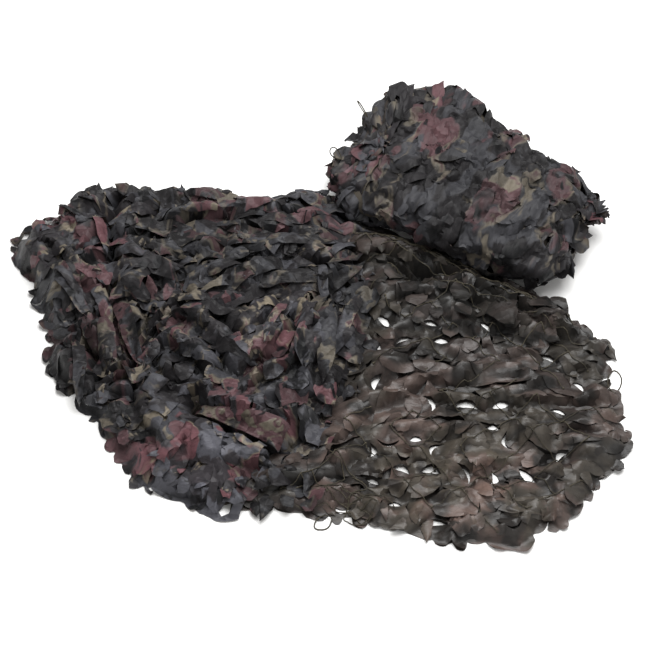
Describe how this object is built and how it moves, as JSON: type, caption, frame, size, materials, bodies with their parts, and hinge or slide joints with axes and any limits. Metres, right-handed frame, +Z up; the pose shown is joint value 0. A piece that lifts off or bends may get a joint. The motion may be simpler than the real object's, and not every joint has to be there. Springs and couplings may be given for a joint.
{
  "type": "camouflage net",
  "caption": "Leaf-cut garnish cloth on a cord net, laid out with one end turned back in a heap and the far end rolled on top.",
  "frame": {"origin": "middle of the object's bounds, on the surface that it rests on", "axes": "+X towards the end where the back of the cloth shows, +Y towards the rolled end, +Z up"},
  "size_m": [1.1676, 1.0078, 0.1538],
  "materials": {
    "garnish_cloth": "matte printed nylon, brown on its back",
    "rolled_garnish": "matte woodland print",
    "net_cord": "dark olive twisted cord"
  },
  "bodies": {
    "root": {"laid_cloth": "garnish_cloth", "rolled_cloth": "rolled_garnish", "carrier_net": "net_cord", "edge_loop_front": "net_cord", "edge_loop_right": "net_cord", "edge_loop_left": "net_cord", "roll_loop_low": "net_cord", "roll_loop_high": "net_cord"}
  },
  "joints": []
}
